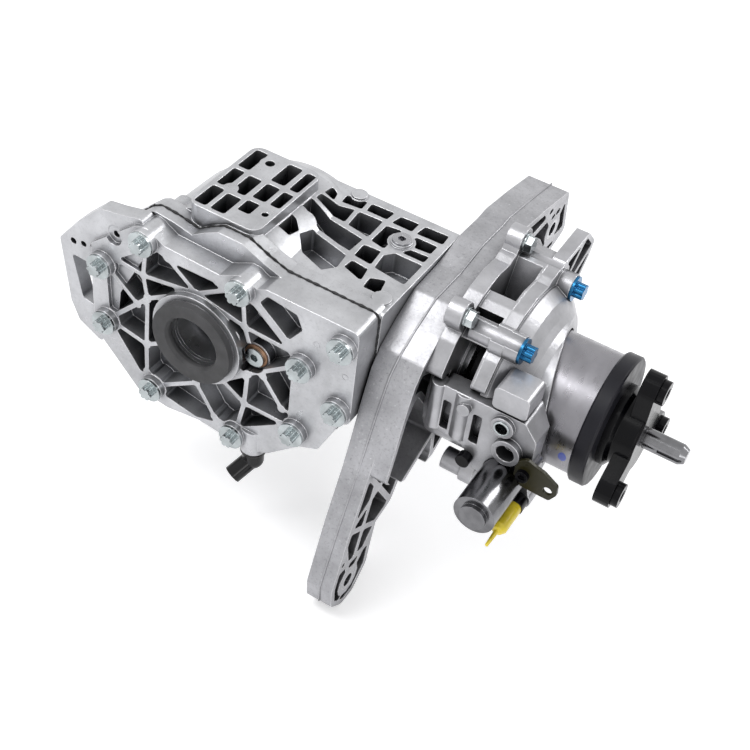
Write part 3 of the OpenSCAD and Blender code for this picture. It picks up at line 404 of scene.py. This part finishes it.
# Floor: pale, with a glow that only the camera and reflections see
FLOOR_GAP = 0.0005
FLOOR_GLOW = 0.45
FLOOR_HALF = 6
floor_z = lo.z - FLOOR_GAP
floor_mat = bpy.data.materials.new("floor")
floor_mat.use_nodes = True
tree = floor_mat.node_tree
tree.nodes.clear()
diffuse = add_node(tree, "ShaderNodeBsdfDiffuse")
diffuse.inputs["Color"].default_value = (0.86, 0.86, 0.87, 1)
glow = add_node(tree, "ShaderNodeEmission")
glow.inputs["Color"].default_value = (1, 1, 1, 1)
gain = add_node(tree, "ShaderNodeMath", operation="MULTIPLY")
gain.inputs[1].default_value = FLOOR_GLOW
both = add_node(tree, "ShaderNodeAddShader")
surface = add_node(tree, "ShaderNodeOutputMaterial")
tree.links.new(seen_by(tree, "Is Camera Ray", "Is Glossy Ray"), gain.inputs[0])
tree.links.new(gain.outputs[0], glow.inputs["Strength"])
tree.links.new(diffuse.outputs[0], both.inputs[0])
tree.links.new(glow.outputs[0], both.inputs[1])
tree.links.new(both.outputs[0], surface.inputs["Surface"])
corners = [(x * FLOOR_HALF, y * FLOOR_HALF, floor_z) for x, y in ((-1, -1), (1, -1), (1, 1), (-1, 1))]
floor = new_mesh("floor", corners, [(0, 1, 2, 3)], floor_mat, smooth=False)

# World: soft light on the object, white to the camera and in reflections
WORLD_LIGHT = 0.42
world = bpy.data.worlds.new("studio")
scene.world = world
world.use_nodes = True
tree = world.node_tree
brightness = add_node(tree, "ShaderNodeMapRange")
brightness.inputs["To Min"].default_value = WORLD_LIGHT
brightness.inputs["To Max"].default_value = 1.0
background = tree.nodes["Background"]
background.inputs["Color"].default_value = (1, 1, 1, 1)
tree.links.new(seen_by(tree, "Is Camera Ray", "Is Glossy Ray", "Is Transmission Ray"),
               brightness.inputs["Value"])
tree.links.new(brightness.outputs["Result"], background.inputs["Strength"])


def lamp(name, at, aim, size, power):
    """A square lamp of this size in metres and power in watts."""
    light = bpy.data.lights.new(name, "AREA")
    light.shape, light.size, light.energy = "SQUARE", size, power
    obj = bpy.data.objects.new(name, light)
    scene.collection.objects.link(obj)
    obj.location = at
    obj.rotation_mode = "QUATERNION"
    obj.rotation_quaternion = (Vector(aim) - Vector(at)).to_track_quat("-Z", "Y")


MIDDLE = (-0.2, 0, 0)
lamp("key", (-0.9, -0.5, 1.5), MIDDLE, 1.0, 17)
lamp("rim", (0.6, 1.1, 1.1), MIDDLE, 0.6, 10)
lamp("front", (0.9, -1.3, 0.6), MIDDLE, 0.9, 7)

# Paint dot on the drum
dot = patch("paint_dot", x=307, theta=math.radians(-171.8), half_x=3.6, half_round=5.4, radius=54, mat=PAINT)
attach(dot, "input")

# Parting line along the outside of the bracket
PARTING = [(172, 176, 66), (172, 128, 76), (172, 84, 83), (172, 69, 82), (172, 37, 84), (171, 0, 77),
           (170, -38, 76), (169, -66, 62), (168, -86, 48), (167, -97, 33), (166, -107, 4), (165, -118, -33),
           (164.5, -124.6, -55), (164, -146, -107), (163, -166, -168), (163, -164.6, -188)]
part_line = bead("bracket_parting_line", [P(*q) for q in PARTING], 0.0009, BAND)
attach(part_line, "housing")

# Sealant squeezed out along the joint of the cover: x and z of its corners, and the y of the joint
JOINT = [(-68, 86), (-60, 90), (-41, 88), (-23, 84), (-11, 92), (2, 99), (26, 99), (46, 90), (64, 84),
         (148, 84), (148.5, -14), (140, -18), (122, -60), (104, -68), (74, -96), (52, -106), (0, -102),
         (-34, -105), (-66, -101), (-112, -53), (-113, -22), (-113, 20), (-112, 44)]
JOINT_Y = -90.4
joint_pts = [P(q.x, JOINT_Y, q.y) for q in fillet(JOINT, radius=7, step=2.5)]
seal_line = bead("joint_sealant", joint_pts, 0.0011, SEALANT, closed=True, wobble=0.45, ref=(0, 1, 0))
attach(seal_line, "housing")

# Round ejector marks on the cover, and a bright ring on its seal. The two bright rings in the bore are a
# painted highlight of the seal's lip, and stand free.
ring("ejector_mark_1", 111.5, -120, 53.4, 2.7, 0.3, CAST)
ring("ejector_mark_2", 139.7, -120, 34.6, 2.7, 0.3, CAST)
ring("seal_lip_highlight_1", 0, -121.3, 0, 24.5, 0.35, CHROME)
ring("seal_lip_highlight_2", 0, -118.6, 0, 24.5, 0.35, CHROME)
ring("seal_front_groove", 0, -126.3, 0, 39.0, 0.3, CHROME)
